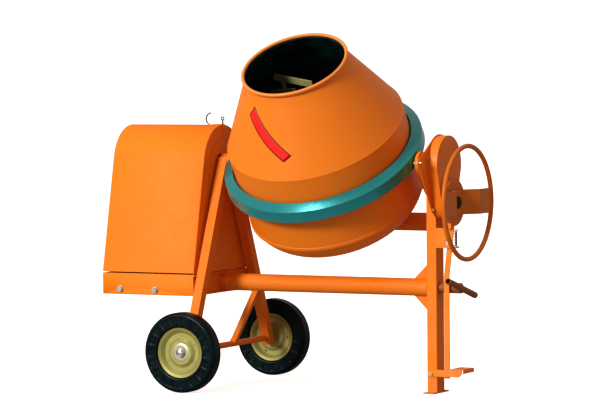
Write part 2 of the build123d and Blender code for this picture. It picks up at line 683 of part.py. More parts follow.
tooth_tip = 4.6
tooth_foot = 12.0
tip_radius = pinion_pitch + tooth_add
root_radius = pinion_pitch - tooth_ded
tooth_face = Polygon((-tooth_foot / 2, root_radius - 2), (tooth_foot / 2, root_radius - 2),
                     (tooth_tip / 2, tip_radius), (-tooth_tip / 2, tip_radius), align=None)
pinion_x0 = -(ring_outer - 1)
pinion_x1 = pinion_x0 + pinion_width
drive_pinion = rod_along_x(root_radius, pinion_x0, pinion_x1)
for i in range(pinion_teeth):
    drive_pinion += Rot(360 * i / pinion_teeth, 0, 0) * plate_x(tooth_face, pinion_x0, pinion_x1)
drive_pinion -= rod_along_x(shaft_radius + running, pinion_x0 - 1, pinion_x1 + 1)
save("drive_pinion", tilted(drive_pinion))
save("pinion_shaft", tilted(rod_along_x(shaft_radius, belt_x - 16 - drum_x, pinion_x1 + 6)))

# ------------------------------------------------------------------ drum
cone_wall = drum_wall * 1.15
cone = spun((drum_radius, band_top), (mouth_radius, cone_top), (mouth_radius - cone_wall, cone_top),
            (drum_radius - cone_wall, band_top))
save("drum_cone", tilted(cone))
rim_top = cone_top - 2.0 + rim_height
rim = spun((rim_radius - rim_wall, cone_top + 0.0), (rim_radius - rim_wall, rim_top), (rim_radius, rim_top),
           (rim_radius, rim_top - rim_height), (mouth_radius + 2, rim_top - rim_height), (mouth_radius, cone_top))
save("mouth_rim", tilted(rim))
band = spun((drum_radius - drum_wall, band_bottom), (drum_radius, band_bottom), (drum_radius, band_top),
            (drum_radius - drum_wall, band_top))
save("drum_band", tilted(band))


def bowl_face(inset):
    rim_point = (drum_radius - inset, band_bottom)
    middle = (bowl_mid[0] - inset * 0.85, bowl_mid[1] + inset * 0.55)
    low = (bowl_flat[0] - inset * 0.35, bowl_flat[1] + inset)
    edges = [Line((0, band_bottom), rim_point), ThreePointArc(rim_point, middle, low), Line(low, (0, low[1])),
             Line((0, low[1]), (0, band_bottom))]
    return Plane.XZ * make_face(edges)


bowl = revolve(bowl_face(0), Axis.Z) - revolve(bowl_face(drum_wall), Axis.Z)
bowl -= Cylinder(spindle_radius + running, 1000)
save("drum_bowl", tilted(bowl))
flange_radius = 70.0
floor_s = bowl_flat[1]
spindle = spun((0, hub_bottom - 18), (spindle_radius, hub_bottom - 18), (spindle_radius, floor_s + drum_wall),
               (flange_radius, floor_s + drum_wall), (flange_radius, floor_s + drum_wall + 8),
               (spindle_radius + 8, floor_s + drum_wall + 30), (0, floor_s + drum_wall + 30))
save("drum_spindle", tilted(spindle))
nut = Pos(0, 0, hub_bottom - 17) * extrude(RegularPolygon(34, 6), amount=16)
save("spindle_nut", tilted(nut - Cylinder(spindle_radius + running, 1000)))

cone_lean = (drum_radius - mouth_radius) / (cone_top - band_top)


def cone_bore(s):
    # Inner radius of the cone at height s, less the seat.
    return drum_radius - cone_wall - seat - cone_lean * (s - band_top)


wall = drum_radius - drum_wall - running
# Drawn flat in the blade's own plane: distance along the plate, then height up the drum.
blade_outline = Polygon((-wall, blade_foot), (-290, blade_foot), (-255, 110), (-190, 246), (-190, 273), (-243, 261),
                        (-240, arm_top - arm_depth), (blade_tip, arm_top - arm_depth), (blade_tip, arm_top),
                        (-wall, arm_top), align=None)
blade_outline -= Polygon((-wall - 1, arm_top - arm_depth), (-262, arm_top - arm_depth), (-266, 256),
                         (-wall - 1, 225), align=None)
blades = []
for i in range(3):
    flat = plate_y(blade_outline, blade_offset - blade_thick / 2, blade_offset + blade_thick / 2)
    flat &= Cylinder(wall, 1000)
    ceiling = arm_top + 60
    flat &= spun((0, blade_foot - 1), (drum_radius, blade_foot - 1), (drum_radius, band_top),
                 (cone_bore(band_top), band_top), (cone_bore(ceiling), ceiling), (0, ceiling))
    blades.append((Rot(0, 0, blade_turn + 120 * i) * flat).solid())
save("mixing_blades", tilted(Compound(children=blades)))

# ------------------------------------------------------------------ handwheel, brake and pedal
strap_x = disc_x + disc_thick + 8.0
flat_half = 45.0
bend_y = 118.0
rim_y = wheel_rim_radius - 3
mid_rim = wheel_rim_x


def strap_side(way):
    t = strap_thick / 2
    path = [(strap_x, 0), (strap_x, way * flat_half), (mid_rim, way * bend_y), (mid_rim, way * rim_y)]
    face = trace(Polyline(*path), line_width=strap_thick)
    return extrude(face, amount=strap_height / 2, both=True)


grip = Pos(mid_rim, 0, 0) * Rot(0, 90, 0) * Torus(wheel_rim_radius, wheel_rim_tube)
grip += strap_side(1)
grip += strap_side(-1)
grip += rod_along_x(24, disc_x + disc_thick, strap_x)
grip -= rod_along_x(shaft_radius + running, disc_x, wheel_rim_x)
save("handwheel", Pos(0, 0, hand_z) * grip)
disc = tube_along_x(disc_radius, shaft_radius + running, disc_x, disc_x + disc_thick, 0, hand_z)
save("brake_disc", disc)
shaft_end = strap_x + strap_thick / 2
save("handwheel_shaft", rod_along_x(shaft_radius, leg_x - 6, shaft_end, 0, hand_z))
cap = rod_along_x(26, shaft_end, shaft_end + 9, 0, hand_z)
cap = fillet(cap.faces().sort_by(Axis.X)[-1].edges(), 3)
save("hub_cap", cap)

guide_x1 = rod_low[0]
ledge_z = (spring_low - 6.3, spring_low - 0.3)
guide_z = (ledge_z[0], spring_high + 10.3)
guide = block(leg_right, guide_x1, -leg_depth / 2, -leg_depth / 2 + 5, *guide_z)
guide += block(leg_right, spring_x + 8, rod_y - 15, rod_y + 20, *ledge_z)
lean = (rod_top[0] - rod_bend[0]) / (rod_top[1] - rod_bend[1])
slot_x = rod_bend[0] + lean * (ledge_z[0] - rod_bend[1])
slot = block(slot_x - rod_width / 2 - 2, slot_x + rod_width / 2 + 4, rod_y - rod_thick / 2 - 0.6,
             rod_y + rod_thick / 2 + 0.6, ledge_z[0] - 30, ledge_z[1] + 24)
guide -= slot
save("rod_guide", guide)
bar_path = Polyline(rod_low, rod_bend, rod_top)
bar = plate_y(trace(bar_path, line_width=rod_width), rod_y - rod_thick / 2, rod_y + rod_thick / 2)
lug_z = spring_high + 0.3
bar += block(rod_top[0] - 8, spring_x + 8, rod_y - 6, rod_y + 6, lug_z, lug_z + 5)
pin_radius = 4.0
pin_spot = (rod_low[0], 84.0)
eye_slot = Pos(pin_spot[0], rod_y, pin_spot[1]) * Box(13, 40, 2 * (pin_radius + 0.4))
bar -= eye_slot
shoe = block(rod_top[0] - 12, rod_top[0] + 5, rod_y - 18, rod_y + 18, rod_top[1] - 4, rod_top[1] + 30)
shoe -= rod_along_x(disc_radius + shoe_gap, disc_x - 2 * disc_thick, disc_x + 3 * disc_thick, 0, hand_z)
shoe -= bar
shoe = shoe.solids().sort_by(Axis.Z)[0]
save("brake_rod", Compound(children=[bar.solid(), shoe]))

coil_radius = 5.0
wire_radius = 1.1
helix = Helix(pitch=(spring_high - spring_low - 2 * wire_radius) / 8, height=spring_high - spring_low - 2 * wire_radius,
              radius=coil_radius)
coil = sweep(Plane(origin=helix @ 0, z_dir=helix % 0) * Circle(wire_radius), path=helix)
save("return_spring", Pos(spring_x, rod_y, spring_low + wire_radius) * coil)

arm_y0 = -leg_depth / 2 - 8.5
arm_y1 = arm_y0 + 8
arm_z = (pedal_pivot[1] - 12, pedal_pivot[1] + 18)
pedal_flat = Polygon((pedal_pivot[0] - 13, arm_z[0] + 5), (pedal_pivot[0] - 6, arm_z[0]), (pedal_end_x - 25, arm_z[0]),
                     (pedal_end_x - 11, arm_z[0] + 14), (pedal_end_x - 11, arm_z[1]), (pedal_pivot[0] - 13, arm_z[1]),
                     align=None)
pedal = plate_y(pedal_flat, arm_y0, arm_y1)
tread_rear = 62.0
pedal += block(rod_low[0] + rod_width / 2 + 6, pedal_end_x, arm_y0, tread_rear, arm_z[1], arm_z[1] + 4)
pedal += block(pedal_end_x - 4, pedal_end_x, arm_y0, tread_rear, arm_z[1] - 14, arm_z[1] + 4)
pedal += rod_along_y(pin_radius, arm_y0, rod_y + rod_thick / 2 + 2, *pin_spot)
pedal -= rod_along_y(bolt_radius + running, arm_y0 - 1, arm_y1 + 1, *pedal_pivot)
save("brake_pedal", pedal)

# ------------------------------------------------------------------ towing bar
drawbar = rod_along_x(drawbar_radius, drawbar_inside, drawbar_end, 0, beam_z)
tee = Cylinder(tee_radius, tee_length) - Cylinder(tee_radius - 3, tee_length + 1)
tee_place = Pos(drawbar_end, 0, beam_z) * Rot(90 - tee_tilt, 0, 0)
drawbar -= rod_along_x(drawbar_radius - 4, drawbar_inside - 1, drawbar_end - 20, 0, beam_z)
drawbar -= tee_place * Cylinder(tee_radius - 3, 200)
save("towing_bar", drawbar + tee_place * tee)

# ------------------------------------------------------------------ road wheels
hub_tube = 24.0
flange_rim = rim_seat_radius + 9.0
tyre_half = tyre_width / 2
sheet = 2.5


def wheel_disc():
    # Two pressed discs back to back with raised rims, a rim band and a hub, outer face towards +Z.
    bore = axle_radius + running
    outer_face = [(hub_tube, 18), (52, 18), (66, 8), (dish_radius, 8), (rim_seat_radius - 2, 22), (flange_rim, 27)]
    inner_face = [(r, z - sheet) for r, z in reversed(outer_face)]
    dish = spun(*outer_face, *inner_face)
    disc_solid = dish + mirror(dish, Plane.XY)
    disc_solid += spun((bore, hub_inner), (hub_tube, hub_inner), (hub_tube, hub_outer), (bore, hub_outer))
    disc_solid += spun((rim_seat_radius - 3, -19), (rim_seat_radius, -20), (rim_seat_radius, 20),
                       (rim_seat_radius - 3, 19))
    for i in range(3):
        disc_solid -= Rot(0, 0, 120 * i) * Pos(drain_spot, 0, hub_inner / 2) * Cylinder(drain_radius, -hub_inner)
    return disc_solid


def wheel_tyre():
    tread = tyre_radius
    shoulder = tyre_radius - 17
    inner = rim_seat_radius + running
    half_side = [(inner, 17.5), (inner + 10, 20.5), (inner + 16, tyre_half - 2), (shoulder, tyre_half),
                 (tread - 5, tyre_half - 6), (tread, tyre_half - 14)]
    other = [(r, -z) for r, z in reversed(half_side)]
    return spun(*half_side, *other)


def on_axle(shape, side):
    return Pos(trestle_x, side * track_half, axle_z) * Rot(-90 * side, 0, 0) * shape


nuts = []
for side, name in ((-1, "front"), (1, "rear")):
    save(f"{name}_wheel_disc", on_axle(wheel_disc(), side))
    save(f"{name}_tyre", on_axle(wheel_tyre(), side))
    nut = Pos(0, 0, hub_outer + seat) * Cylinder(22, 2, align=(Align.CENTER, Align.CENTER, Align.MIN))
    nut += Pos(0, 0, hub_outer + seat + 2) * extrude(RegularPolygon(19, 6), amount=12)
    nut -= Cylinder(axle_radius + running, 200)
    nuts.append(on_axle(nut, side).solid())
save("axle_nuts", Compound(children=nuts))

# ------------------------------------------------------------------ fasteners
bolts = []
for x in tray_bolt_x:
    bolt = hex_bolt(tray_bolt_radius, bolt_grip, tray_bolt_head, tray_washer)
    bolts.append(Pos(x, hood_front, tray_bolt_z) * Rot(-90, 0, 0) * bolt)
tip_place = Pos(plate_x0, *tip_spot) * Rot(0, 90, 0)
bolts.append(tip_place * hex_bolt(bolt_radius, 14, bolt_head))
pivot_bolt = hex_bolt(bolt_radius, bolt_grip, bolt_head)
bolts.append(Pos(pedal_pivot[0], arm_y0 - seat, pedal_pivot[1]) * Rot(-90, 0, 0) * pivot_bolt)
save("frame_bolts", Compound(children=[b.solid() for b in bolts]))
screws = []
for y, z in tab_spots:
    face_x = plate_x1 + plate_thick
    screws.append((Pos(face_x, y, z) * Rot(0, -90, 0) * hex_bolt(screw_radius, plate_thick, 7)).solid())
save("cover_screws", Compound(children=screws))
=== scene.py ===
import bpy
import bmesh
import json
import math
from mathutils import Matrix, Vector


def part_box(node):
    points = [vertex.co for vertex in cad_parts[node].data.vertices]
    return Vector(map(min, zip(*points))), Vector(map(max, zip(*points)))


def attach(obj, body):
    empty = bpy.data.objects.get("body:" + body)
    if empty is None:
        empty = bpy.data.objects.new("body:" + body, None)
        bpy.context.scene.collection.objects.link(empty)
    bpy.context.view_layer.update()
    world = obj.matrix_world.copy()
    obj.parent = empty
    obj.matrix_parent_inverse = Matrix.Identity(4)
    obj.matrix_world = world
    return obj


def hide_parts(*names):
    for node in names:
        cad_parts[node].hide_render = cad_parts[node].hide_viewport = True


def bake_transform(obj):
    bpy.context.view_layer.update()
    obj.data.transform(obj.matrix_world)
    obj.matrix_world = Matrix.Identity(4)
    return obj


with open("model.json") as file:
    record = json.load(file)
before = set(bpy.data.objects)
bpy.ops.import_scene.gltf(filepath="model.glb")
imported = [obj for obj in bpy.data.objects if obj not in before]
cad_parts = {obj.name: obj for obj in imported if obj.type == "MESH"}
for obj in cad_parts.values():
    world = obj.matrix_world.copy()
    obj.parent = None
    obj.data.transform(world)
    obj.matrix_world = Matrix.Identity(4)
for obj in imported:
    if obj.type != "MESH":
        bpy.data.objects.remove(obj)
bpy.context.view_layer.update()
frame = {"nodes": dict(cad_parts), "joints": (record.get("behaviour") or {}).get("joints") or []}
nodes = frame["nodes"]
joints = {joint["name"]: joint for joint in frame["joints"]}

# ---------------------------------------------------------------- studio
# A plain pale floor that fades into an even pale surround, one soft sun from the front, a
# low sheet of light for what the ground throws back up, and a round light from above.
scene = bpy.context.scene
scene.view_settings.view_transform = "Standard"
scene.view_settings.look = "Medium High Contrast"
camera = bpy.data.objects.new("camera", bpy.data.cameras.new("camera"))
scene.collection.objects.link(camera)
scene.camera = camera
camera.data.lens = 202.5
camera.data.clip_end = 60.0
camera_right = Vector((0.886, 0.464, -0.009)).normalized()
camera_back = Vector((0.464, -0.885, 0.048)).normalized()
camera_up = camera_back.cross(camera_right)
camera.matrix_world = Matrix.Translation((6.2316, -13.1356, 1.5363)) @ Matrix(
    (camera_right, camera_up, camera_back)).transposed().to_4x4()

floor_mesh = bpy.data.meshes.new("floor")
floor_mesh.from_pydata([(-30, -30, 0), (30, -30, 0), (30, 30, 0), (-30, 30, 0)], [], [(0, 1, 2, 3)])
floor = bpy.data.objects.new("floor", floor_mesh)
scene.collection.objects.link(floor)
floor_material = bpy.data.materials.new("pale floor")
floor_material.use_nodes = True
floor_tree = floor_material.node_tree
floor_shader = floor_tree.nodes["Principled BSDF"]
floor_shader.inputs["Roughness"].default_value = 0.9
floor_shader.inputs["Emission Color"].default_value = (1, 1, 1, 1)
floor_seen = floor_tree.nodes.new("ShaderNodeLightPath").outputs["Is Camera Ray"]
for socket, unseen, in_view in (("Base Color", 0.35, 0.93), ("Emission Strength", 0.0, 0.62)):
    level = floor_tree.nodes.new("ShaderNodeMapRange")
    level.inputs["To Min"].default_value = unseen
    level.inputs["To Max"].default_value = in_view
    floor_tree.links.new(floor_seen, level.inputs["Value"])
    floor_tree.links.new(level.outputs["Result"], floor_shader.inputs[socket])
floor_mesh.materials.append(floor_material)

world = bpy.data.worlds.new("pale surround")
scene.world = world
world.use_nodes = True
surround = world.node_tree.nodes["Background"]
seen = world.node_tree.nodes.new("ShaderNodeLightPath")
tone = world.node_tree.nodes.new("ShaderNodeMix")
tone.data_type = "RGBA"
tone.inputs[6].default_value = (0.42, 0.34, 0.31, 1)
tone.inputs[7].default_value = (1.0, 1.0, 1.0, 1)
world.node_tree.links.new(seen.outputs["Is Camera Ray"], tone.inputs[0])
world.node_tree.links.new(tone.outputs[2], surround.inputs["Color"])


def lamp(name, kind, towards, strength, colour, **settings):
    # A light that shines along a direction, standing well back from the machine.
    data = bpy.data.lights.new(name, kind)
    data.energy = strength
    data.color = colour
    for key, value in settings.items():
        setattr(data, key, value)
    light = bpy.data.objects.new(name, data)
    scene.collection.objects.link(light)
    light.location = Vector((-0.5, 0, 0.8)) - Vector(towards).normalized() * 8
    light.rotation_euler = Vector(towards).to_track_quat("-Z", "Y").to_euler()


lamp("key", "SUN", (0.28, 0.90, -0.34), 2.0, (1.0, 0.99, 0.97), angle=0.25)
lamp("ground light", "AREA", (-0.25, 0.80, 0.55), 150, (1.0, 0.93, 0.86), shape="RECTANGLE",
     size=5.0, size_y=2.0)
lamp("upper light", "AREA", (0.249, 0.498, -0.829), 70, (1.0, 1.0, 1.0), shape="DISK", size=1.4)

# ---------------------------------------------------------------- main beam, bearer and spigot
# Round pipe with a turned spigot at the motor end, welded to an angle bearer. All of the
# frame is sprayed in one orange enamel after welding, so the beads are painted over.


def add(tree, kind, inputs=None, **settings):
    # One shader node; inputs are values, or sockets to link from.
    node = tree.nodes.new(kind)
    for key, value in settings.items():
        setattr(node, key, value)
    for key, value in (inputs or {}).items():
        if isinstance(value, bpy.types.NodeSocket):
            tree.links.new(value, node.inputs[key])
        else:
            node.inputs[key].default_value = value
    return node


def noise(tree, scale, detail=2.0, roughness=0.5, where=None):
    place = where or add(tree, "ShaderNodeTexCoord").outputs["Object"]
    return add(tree, "ShaderNodeTexNoise", {"Vector": place, "Scale": scale, "Detail": detail,
                                            "Roughness": roughness}).outputs["Fac"]


def span(tree, value, low, high, to_low=0.0, to_high=1.0):
    return add(tree, "ShaderNodeMapRange", {"Value": value, "From Min": low, "From Max": high,
                                            "To Min": to_low, "To Max": to_high}).outputs["Result"]


def mixed(tree, share, first, second, kind="MIX"):
    node = add(tree, "ShaderNodeMix", data_type="RGBA", blend_type=kind)
    for socket, value in ((node.inputs[0], share), (node.inputs[6], first), (node.inputs[7], second)):
        if isinstance(value, bpy.types.NodeSocket):
            tree.links.new(value, socket)
        else:
            socket.default_value = value
    return node.outputs[2]


def maths(tree, operation, first, second):
    node = add(tree, "ShaderNodeMath", operation=operation)
    for socket, value in zip(node.inputs, (first, second)):
        if isinstance(value, bpy.types.NodeSocket):
            tree.links.new(value, socket)
        else:
            socket.default_value = value
    return node.outputs[0]


def effect(name, inputs, outputs):
    # An empty node group with named sockets.
    group = bpy.data.node_groups.new(name, "ShaderNodeTree")
    kinds = {"colour": "NodeSocketColor", "number": "NodeSocketFloat"}
    for title, kind, value in inputs:
        socket = group.interface.new_socket(title, in_out="INPUT", socket_type=kinds[kind])
        socket.default_value = value
    for title, kind in outputs:
        group.interface.new_socket(title, in_out="OUTPUT", socket_type=kinds[kind])
    return group, group.nodes.new("NodeGroupInput").outputs, group.nodes.new("NodeGroupOutput").inputs


def finish_with(group, made, **results):
    for title, value in results.items():
        group.links.new(value, made[title])


sprayed, given, made = effect(
    "sprayed enamel",
    [("Paint", "colour", (0.9, 0.25, 0.01, 1)), ("Thin", "colour", (0.7, 0.16, 0.01, 1)),
     ("Dust", "number", 0.2), ("Chips", "number", 0.2), ("Gloss", "number", 0.3)],
    [("Color", "colour"), ("Roughness", "number"), ("Height", "number")])
place = add(sprayed, "ShaderNodeTexCoord").outputs["Object"]
patches = span(sprayed, noise(sprayed, 3.1, 4.0, 0.55, place), 0.35, 0.68)
streaks = span(sprayed, noise(sprayed, 24.0, 3.0, 0.6, place), 0.4, 0.75)
peel = noise(sprayed, 420.0, 1.0, 0.4, place)
grime = noise(sprayed, 9.0, 6.0, 0.7, place)
height = add(sprayed, "ShaderNodeSeparateXYZ", {"Vector": place}).outputs["Z"]
low_down = span(sprayed, height, 0.55, 0.0)
grimy = maths(sprayed, "MULTIPLY", span(sprayed, grime, 0.42, 0.72), given["Dust"])
dusty = maths(sprayed, "MULTIPLY", grimy, maths(sprayed, "ADD", low_down, 0.22))
chip_spots = span(sprayed, noise(sprayed, 95.0, 5.0, 0.75, place), 0.70, 0.74)
chipped = maths(sprayed, "MULTIPLY", chip_spots, given["Chips"])
coat = mixed(sprayed, maths(sprayed, "MULTIPLY", patches, 0.45), given["Paint"], given["Thin"])
coat = mixed(sprayed, maths(sprayed, "MULTIPLY", streaks, 0.10), coat, given["Thin"])
coat = mixed(sprayed, dusty, coat, (0.46, 0.37, 0.28, 1))
coat = mixed(sprayed, chipped, coat, (0.09, 0.06, 0.05, 1))
rough = maths(sprayed, "ADD", given["Gloss"], maths(sprayed, "MULTIPLY", streaks, 0.10))
rough = maths(sprayed, "ADD", rough, maths(sprayed, "MULTIPLY", dusty, 0.5))
relief = maths(sprayed, "SUBTRACT", maths(sprayed, "ADD", maths(sprayed, "MULTIPLY", peel, 0.25),
                                         maths(sprayed, "MULTIPLY", streaks, 0.15)), chipped)
finish_with(sprayed, made, Color=coat, Roughness=rough, Height=relief)


def enamel(name, paint, thin, dust=0.25, chips=0.25, gloss=0.52, clear=0.04):
    material = bpy.data.materials.new(name)
    material.use_nodes = True
    tree = material.node_tree
    coat = add(tree, "ShaderNodeGroup", node_tree=sprayed)
    for title, value in (("Paint", (*paint, 1)), ("Thin", (*thin, 1)), ("Dust", dust),
                         ("Chips", chips), ("Gloss", gloss)):
        coat.inputs[title].default_value = value
    return skin(material, coat, 0.0, 0.12, 0.0006, clear)


def skin(material, group, metallic, bump, depth, clear=0.0):
    # Wires an effect group's Color, Roughness and Height into the material's shader.
    tree = material.node_tree
    shader = tree.nodes["Principled BSDF"]
    tree.links.new(group.outputs["Color"], shader.inputs["Base Color"])
    tree.links.new(group.outputs["Roughness"], shader.inputs["Roughness"])
    raised = add(tree, "ShaderNodeBump", {"Height": group.outputs["Height"], "Strength": bump,
                                          "Distance": depth})
    tree.links.new(raised.outputs["Normal"], shader.inputs["Normal"])
    shader.inputs["Metallic"].default_value = metallic
    shader.inputs["Coat Weight"].default_value = clear
    shader.inputs["Coat Roughness"].default_value = 0.42
    shader.inputs["Specular IOR Level"].default_value = 0.5 if metallic else 0.2
    return material


orange = (0.92, 0.245, 0.011)
thin_orange = (0.80, 0.19, 0.008)
frame_enamel = enamel("frame enamel", orange, thin_orange)


def dress(material, *names):
    for name in names:
        slots = nodes[name].data.materials
        slots.clear()
        slots.append(material)


def piece(name, mesh, material, body):
    made_piece = bpy.data.objects.new(name, mesh)
    scene.collection.objects.link(made_piece)
    mesh.materials.clear()
    for each in material if isinstance(material, tuple) else (material,):
        mesh.materials.append(each)
    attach(made_piece, body)
    return made_piece


def tube_mesh(name, path, radius, sides=10, closed=False, ripple=0.0):
    # A round bead or wire along points; ripple swells it as a weld run does.
    points = [Vector(p) for p in path]
    mesh = bpy.data.meshes.new(name)
    count = len(points)
    verts, faces = [], []
    side = None
    for i, point in enumerate(points):
        ahead = points[(i + 1) % count] if closed or i < count - 1 else point
        behind = points[i - 1] if closed or i else point
        along = (ahead - behind).normalized()
        if side is None:
            side = along.orthogonal().normalized()
        side = (side - along * side.dot(along)).normalized()
        other = along.cross(side)
        here = radius * (1 + ripple * math.sin(i * 2.1))
        for k in range(sides):
            turn = 2 * math.pi * k / sides
            verts.append(point + (side * math.cos(turn) + other * math.sin(turn)) * here)
    rings = count if closed else count - 1
    for i in range(rings):
        for k in range(sides):
            a, b = i * sides + k, i * sides + (k + 1) % sides
            c, d = ((i + 1) % count) * sides + (k + 1) % sides, ((i + 1) % count) * sides + k
            faces.append((a, b, c, d))
    if not closed:
        faces.append(tuple(reversed(range(sides))))
        faces.append(tuple(range((count - 1) * sides, count * sides)))
    mesh.from_pydata(verts, [], faces)
    mesh.polygons.foreach_set("use_smooth", [True] * len(faces))
    return mesh


def ring_of_points(centre, axis, radius, count, start=0.0, end=360.0):
    axis = Vector(axis).normalized()
    side = Vector((0, 0, 1)) if abs(axis.z) < 0.9 else Vector((1, 0, 0))
    side = (side - axis * side.dot(axis)).normalized()
    other = axis.cross(side)
    span_of = math.radians(end - start)
    whole = abs(end - start - 360) < 0.01
    steps = count if whole else count - 1
    turns = [math.radians(start) + span_of * i / steps for i in range(count)]
    return [Vector(centre) + (side * math.cos(t) + other * math.sin(t)) * radius for t in turns]


dress(frame_enamel, "main_beam", "beam_spigot", "tray_bearer", "beam_gussets")
beam_low, beam_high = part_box("main_beam")
beam_middle = (beam_low.z + beam_high.z) / 2
beam_radius = (beam_high.z - beam_low.z) / 2
weld_ripple = 0.14
beads = [("beam_end_weld", beam_low.x + 0.001, 0.0022), ("beam_leg_weld", beam_high.x - 0.002, 0.0032)]
for name, at, size in beads:
    round_beam = ring_of_points((at, 0, beam_middle), (1, 0, 0), beam_radius - 0.0005, 90)
    bead = tube_mesh(name, round_beam, size, 8, True, weld_ripple)
    piece(name, bead, frame_enamel, "frame")

# ---------------------------------------------------------------- trestle, axle and brace
# Two square tubes lean together under the tilt bearing and stand on the round axle. A thin
# square brace runs from the axle up to the beam; every joint is a painted fillet weld.
dress(frame_enamel, "trestle_front_leg", "trestle_rear_leg", "trestle_head", "axle_brace", "axle")
head_low, head_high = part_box("trestle_head")
bearing = Vector(joints["pinion_spin"]["pos_m"])
bearing_radius = 0.038
for name, at in (("bearing_weld_inner", head_high.x - 0.001), ("bearing_weld_outer", head_low.x + 0.001)):
    round_bearing = ring_of_points((at, 0, bearing.z), (1, 0, 0), bearing_radius, 70, 120, 240)
    bead = tube_mesh(name, round_bearing, 0.0024, 8, False, weld_ripple)
    piece(name, bead, frame_enamel, "frame")
brace_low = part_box("axle_brace")[0]
round_foot = ring_of_points((brace_low.x + 0.014, 0.033, 0.1885), (0.3, -0.1, 0.9), 0.0165, 40)
foot_bead = tube_mesh("brace_weld", round_foot, 0.002, 8, True, 0.15)
piece("brace_weld", foot_bead, frame_enamel, "frame")

# ---------------------------------------------------------------- road wheels
# Solid rubber tyres with moulded recesses round the side walls, on pressed wheel discs in
# yellow zinc, riveted together. A washer and nut with a split pin hold each on the axle.
recess_count = 18
recess_depth = 0.0032
rivet_count = 6
rivet_ring = 0.0745
rivet_head = 0.0042

rubber_skin, given, made = effect(
    "moulded rubber", [("Tone", "colour", (0.012, 0.013, 0.014, 1)), ("Dust", "number", 0.3)],
    [("Color", "colour"), ("Roughness", "number"), ("Height", "number")])
place = add(rubber_skin, "ShaderNodeTexCoord").outputs["Object"]
bloom = span(rubber_skin, noise(rubber_skin, 14.0, 5.0, 0.6, place), 0.45, 0.75)
grain = noise(rubber_skin, 520.0, 2.0, 0.6, place)
dust = maths(rubber_skin, "MULTIPLY", bloom, given["Dust"])
tone = mixed(rubber_skin, dust, given["Tone"], (0.10, 0.095, 0.085, 1))
finish_with(rubber_skin, made, Color=tone, Height=grain,
            Roughness=span(rubber_skin, bloom, 0.0, 1.0, 0.28, 0.5))


def soft_black(name, tone, dust, bump=0.2):
    material = bpy.data.materials.new(name)
    material.use_nodes = True
    group = add(material.node_tree, "ShaderNodeGroup", node_tree=rubber_skin)
    group.inputs["Tone"].default_value = (*tone, 1)
    group.inputs["Dust"].default_value = dust
    return skin(material, group, 0.0, bump, 0.0004)


tyre_rubber = soft_black("tyre rubber", (0.0012, 0.0100, 0.0130), 0.01)
tyre_rubber.node_tree.nodes["Principled BSDF"].inputs["Specular IOR Level"].default_value = 0.15

plated, given, made = effect(
    "plated steel", [("Bright", "colour", (0.7, 0.7, 0.7, 1)), ("Dull", "colour", (0.4, 0.4, 0.4, 1)),
                     ("Cells", "number", 60.0), ("Polish", "number", 0.25)],
    [("Color", "colour"), ("Roughness", "number"), ("Height", "number")])
place = add(plated, "ShaderNodeTexCoord").outputs["Object"]
cells = add(plated, "ShaderNodeTexVoronoi", {"Vector": place, "Scale": given["Cells"]}, feature="SMOOTH_F1")
cell_tone = add(plated, "ShaderNodeSeparateColor", {"Color": cells.outputs["Color"]}).outputs[0]
clouds = span(plated, noise(plated, 8.0, 4.0, 0.6, place), 0.38, 0.7)
share = maths(plated, "ADD", maths(plated, "MULTIPLY", clouds, 0.55),
              maths(plated, "MULTIPLY", cell_tone, 0.25))
fine = noise(plated, 300.0, 3.0, 0.6, place)
finish_with(plated, made, Color=mixed(plated, share, given["Bright"], given["Dull"]),
            Roughness=maths(plated, "ADD", given["Polish"], maths(plated, "MULTIPLY", share, 0.16)),
            Height=maths(plated, "ADD", maths(plated, "MULTIPLY", fine, 0.3),
                         maths(plated, "MULTIPLY", cell_tone, 0.1)))


def plating(name, bright, dull, cells, polish, metallic=1.0, bump=0.1):
    material = bpy.data.materials.new(name)
    material.use_nodes = True
    group = add(material.node_tree, "ShaderNodeGroup", node_tree=plated)
    for title, value in (("Bright", (*bright, 1)), ("Dull", (*dull, 1)), ("Cells", cells),
                         ("Polish", polish)):
        group.inputs[title].default_value = value
    return skin(material, group, metallic, bump, 0.0005)


yellow_zinc = plating("yellow zinc", (0.47, 0.44, 0.15), (0.27, 0.28, 0.08), 90.0, 0.38, 0.35)
# Paler zinc for the hub domes: a painted highlight on the same yellow-zinc pressing.
pale_zinc_painted_highlight = plating("zinc paled as painted highlight", (0.62, 0.60, 0.42), (0.42, 0.41, 0.26), 60.0, 0.3, 0.5)
bright_zinc = plating("bright zinc", (0.78, 0.78, 0.76), (0.50, 0.50, 0.49), 140.0, 0.24)


def lathe(name, outline, steps, turn_to, closed=True, shape=None):
    # Turns (radius, height) points a whole turn about Z, then moves the mesh by a matrix.
    mesh = bpy.data.meshes.new(name)
    verts = []
    for i in range(steps):
        angle = math.radians(360 * i / steps)
        for k, (radius, level) in enumerate(outline):
            if shape:
                radius, level = shape(k, angle, radius, level)
            verts.append(turn_to @ Vector((radius * math.cos(angle), radius * math.sin(angle), level)))
    count = len(outline)
    faces = []
    for i in range(steps):
        j = (i + 1) % steps
        for k in range(count if closed else count - 1):
            m = (k + 1) % count
            faces.append((i * count + k, j * count + k, j * count + m, i * count + m))
    mesh.from_pydata(verts, [], faces)
    joined = bmesh.new()
    joined.from_mesh(mesh)
    bmesh.ops.remove_doubles(joined, verts=joined.verts, dist=1e-6)
    bmesh.ops.recalc_face_normals(joined, faces=joined.faces)
    joined.to_mesh(mesh)
    joined.free()
    mesh.polygons.foreach_set("use_smooth", [True] * len(mesh.polygons))
    mesh.set_sharp_from_angle(angle=math.radians(32))
    return mesh


